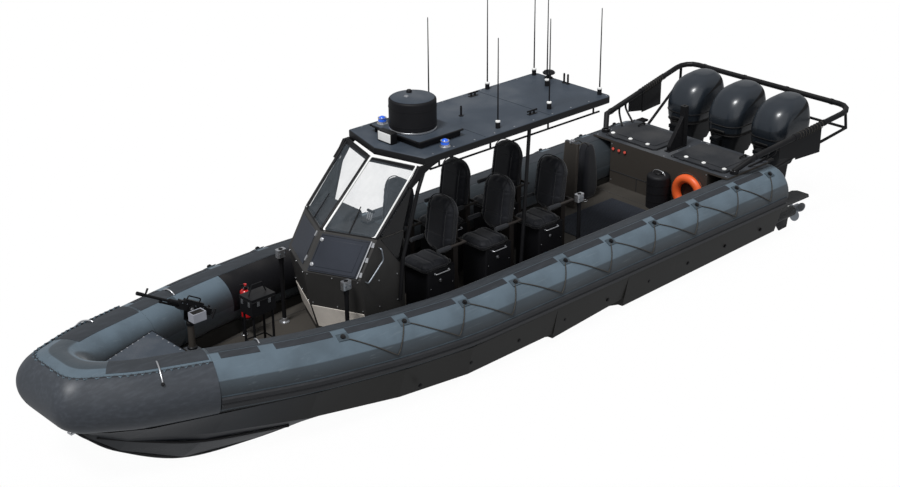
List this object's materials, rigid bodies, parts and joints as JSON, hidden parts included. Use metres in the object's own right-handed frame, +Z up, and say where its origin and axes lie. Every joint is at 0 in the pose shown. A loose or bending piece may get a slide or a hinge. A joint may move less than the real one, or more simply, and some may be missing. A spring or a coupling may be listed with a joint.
{
  "type": "rigid inflatable patrol boat",
  "caption": "Rigid-hulled inflatable patrol boat with shield console under a hardtop, shock seats, bow gun mount, stern guard rail and outboard engines.",
  "frame": {"origin": "on the centreline amidships, at the waterline of the boat at rest", "axes": "+X towards the bow, +Y to port, +Z up"},
  "size_m": [11.162, 2.9402, 4],
  "materials": {
    "hull_paint": "satin near-black brown paint",
    "deck_coat": "matt non-slip coating",
    "tube_fabric": "matt coated fabric, blue-grey",
    "bumper_rubber": "matt charcoal rubber",
    "box_paint": "satin dark brown-grey paint",
    "panel_paint": "satin slate-grey paint",
    "black_metal": "satin black powder coat",
    "screen_glass": "clear tinted pane",
    "black_plastic": "matt black",
    "seat_vinyl": "black-navy vinyl",
    "beacon_lens": "blue lens",
    "bright_metal": "bright stainless",
    "tray_paint": "pale grey paint",
    "red_paint": "gloss red",
    "buoy_shell": "orange shell",
    "engine_metal": "satin black-blue",
    "cowl_gloss": "gloss black-blue",
    "prop_steel": "polished steel"
  },
  "bodies": {
    "boat": {"beacons": "beacon_lens", "bow_eye": "bright_metal", "bow_pedestal": "box_paint", "bow_stand": "black_metal", "console": "box_paint", "dash": "black_plastic", "deck": "deck_coat", "engine_brackets": "engine_metal", "extinguisher": "red_paint", "extinguisher_bar": "black_metal", "foredeck": "panel_paint", "hardtop": "panel_paint", "hull": "hull_paint", "lifebuoy": "buoy_shell", "radar_drum": "black_plastic", "radar_platform": "panel_paint", "rail_plates": "black_metal", "roof_posts": "black_metal", "rub_strakes": "bumper_rubber", "screen_panes": "screen_glass", "screen_posts": "black_metal", "seat_backs": "seat_vinyl", "seat_boxes": "black_plastic", "seat_cushions": "seat_vinyl", "seat_towers": "black_plastic", "stanchion_clamps": "bright_metal", "stanchions": "black_metal", "stern_box": "box_paint", "stern_drum": "black_plastic", "stern_post": "black_metal", "stern_rail": "black_metal", "tube_bow": "bumper_rubber", "tube_port": "tube_fabric", "tube_starboard": "tube_fabric", "whips": "black_plastic"},
    "swivel_port": {"swivel_port": "engine_metal"},
    "engine_port": {"leg_port": "engine_metal", "cowl_port": "cowl_gloss"},
    "propeller_port": {"propeller_port": "prop_steel"},
    "swivel_middle": {"swivel_middle": "engine_metal"},
    "engine_middle": {"leg_middle": "engine_metal", "cowl_middle": "cowl_gloss"},
    "propeller_middle": {"propeller_middle": "prop_steel"},
    "swivel_starboard": {"swivel_starboard": "engine_metal"},
    "engine_starboard": {"leg_starboard": "engine_metal", "cowl_starboard": "cowl_gloss"},
    "propeller_starboard": {"propeller_starboard": "prop_steel"},
    "helm": {"helm_wheel": "black_plastic"},
    "gun_mount": {"gun_yoke": "black_metal", "gun_tray": "tray_paint"},
    "gun": {"gun": "black_metal"},
    "console_hatch": {"console_hatch": "panel_paint"},
    "lid_port": {"lid_port": "panel_paint"},
    "lid_starboard": {"lid_starboard": "panel_paint"}
  },
  "joints": [
    {"name": "tilt_port", "type": "hinge", "parent": "boat", "child": "swivel_port", "pos_m": [-5, 0.7, 0.6], "axis": [0, 1, 0], "range_deg": [0, 45]},
    {"name": "steer_port", "type": "hinge", "parent": "swivel_port", "child": "engine_port", "pos_m": [-5.17, 0.7, 0.6], "axis": [0, 0, 1], "range_deg": [-25, 25]},
    {"name": "spin_port", "type": "hinge", "parent": "engine_port", "child": "propeller_port", "pos_m": [-6.068, 0.7, -0.205], "axis": [1, 0, 0], "continuous": true},
    {"name": "tilt_middle", "type": "hinge", "parent": "boat", "child": "swivel_middle", "pos_m": [-5, 0, 0.6], "axis": [0, 1, 0], "range_deg": [0, 45]},
    {"name": "steer_middle", "type": "hinge", "parent": "swivel_middle", "child": "engine_middle", "pos_m": [-5.17, 0, 0.6], "axis": [0, 0, 1], "range_deg": [-25, 25]},
    {"name": "spin_middle", "type": "hinge", "parent": "engine_middle", "child": "propeller_middle", "pos_m": [-6.068, 0, -0.205], "axis": [1, 0, 0], "continuous": true},
    {"name": "tilt_starboard", "type": "hinge", "parent": "boat", "child": "swivel_starboard", "pos_m": [-5, -0.7, 0.6], "axis": [0, 1, 0], "range_deg": [0, 45]},
    {"name": "steer_starboard", "type": "hinge", "parent": "swivel_starboard", "child": "engine_starboard", "pos_m": [-5.17, -0.7, 0.6], "axis": [0, 0, 1], "range_deg": [-25, 25]},
    {"name": "spin_starboard", "type": "hinge", "parent": "engine_starboard", "child": "propeller_starboard", "pos_m": [-6.068, -0.7, -0.205], "axis": [1, 0, 0], "continuous": true},
    {"name": "helm_turn", "type": "hinge", "parent": "boat", "child": "helm", "pos_m": [0.79, -0.36, 1.3], "axis": [0.9272, 0, -0.3746], "range_deg": [-720, 720]},
    {"name": "gun_traverse", "type": "hinge", "parent": "boat", "child": "gun_mount", "pos_m": [3.14, 0, 1.1], "axis": [0, 0, 1], "continuous": true},
    {"name": "gun_elevate", "type": "hinge", "parent": "gun_mount", "child": "gun", "pos_m": [3.14, 0, 1.24], "axis": [0, -1, 0], "range_deg": [-40, 25]},
    {"name": "hatch_hinge", "type": "hinge", "parent": "boat", "child": "console_hatch", "pos_m": [1.47749, 0.56403, 1.19905], "axis": [-0.5319, 0, 0.8468], "range_deg": [0, 100]},
    {"name": "lid_port_hinge", "type": "hinge", "parent": "boat", "child": "lid_port", "pos_m": [-4.078, 0.555, 0.961], "axis": [0, 1, 0], "range_deg": [0, 100]},
    {"name": "lid_starboard_hinge", "type": "hinge", "parent": "boat", "child": "lid_starboard", "pos_m": [-4.078, -0.555, 0.961], "axis": [0, 1, 0], "range_deg": [0, 100]}
  ],
  "couplings": [
    {"joint": "steer_port", "follows": "steer_middle", "ratio": 1},
    {"joint": "steer_starboard", "follows": "steer_middle", "ratio": 1},
    {"joint": "helm_turn", "follows": "steer_middle", "ratio": 28.8}
  ]
}
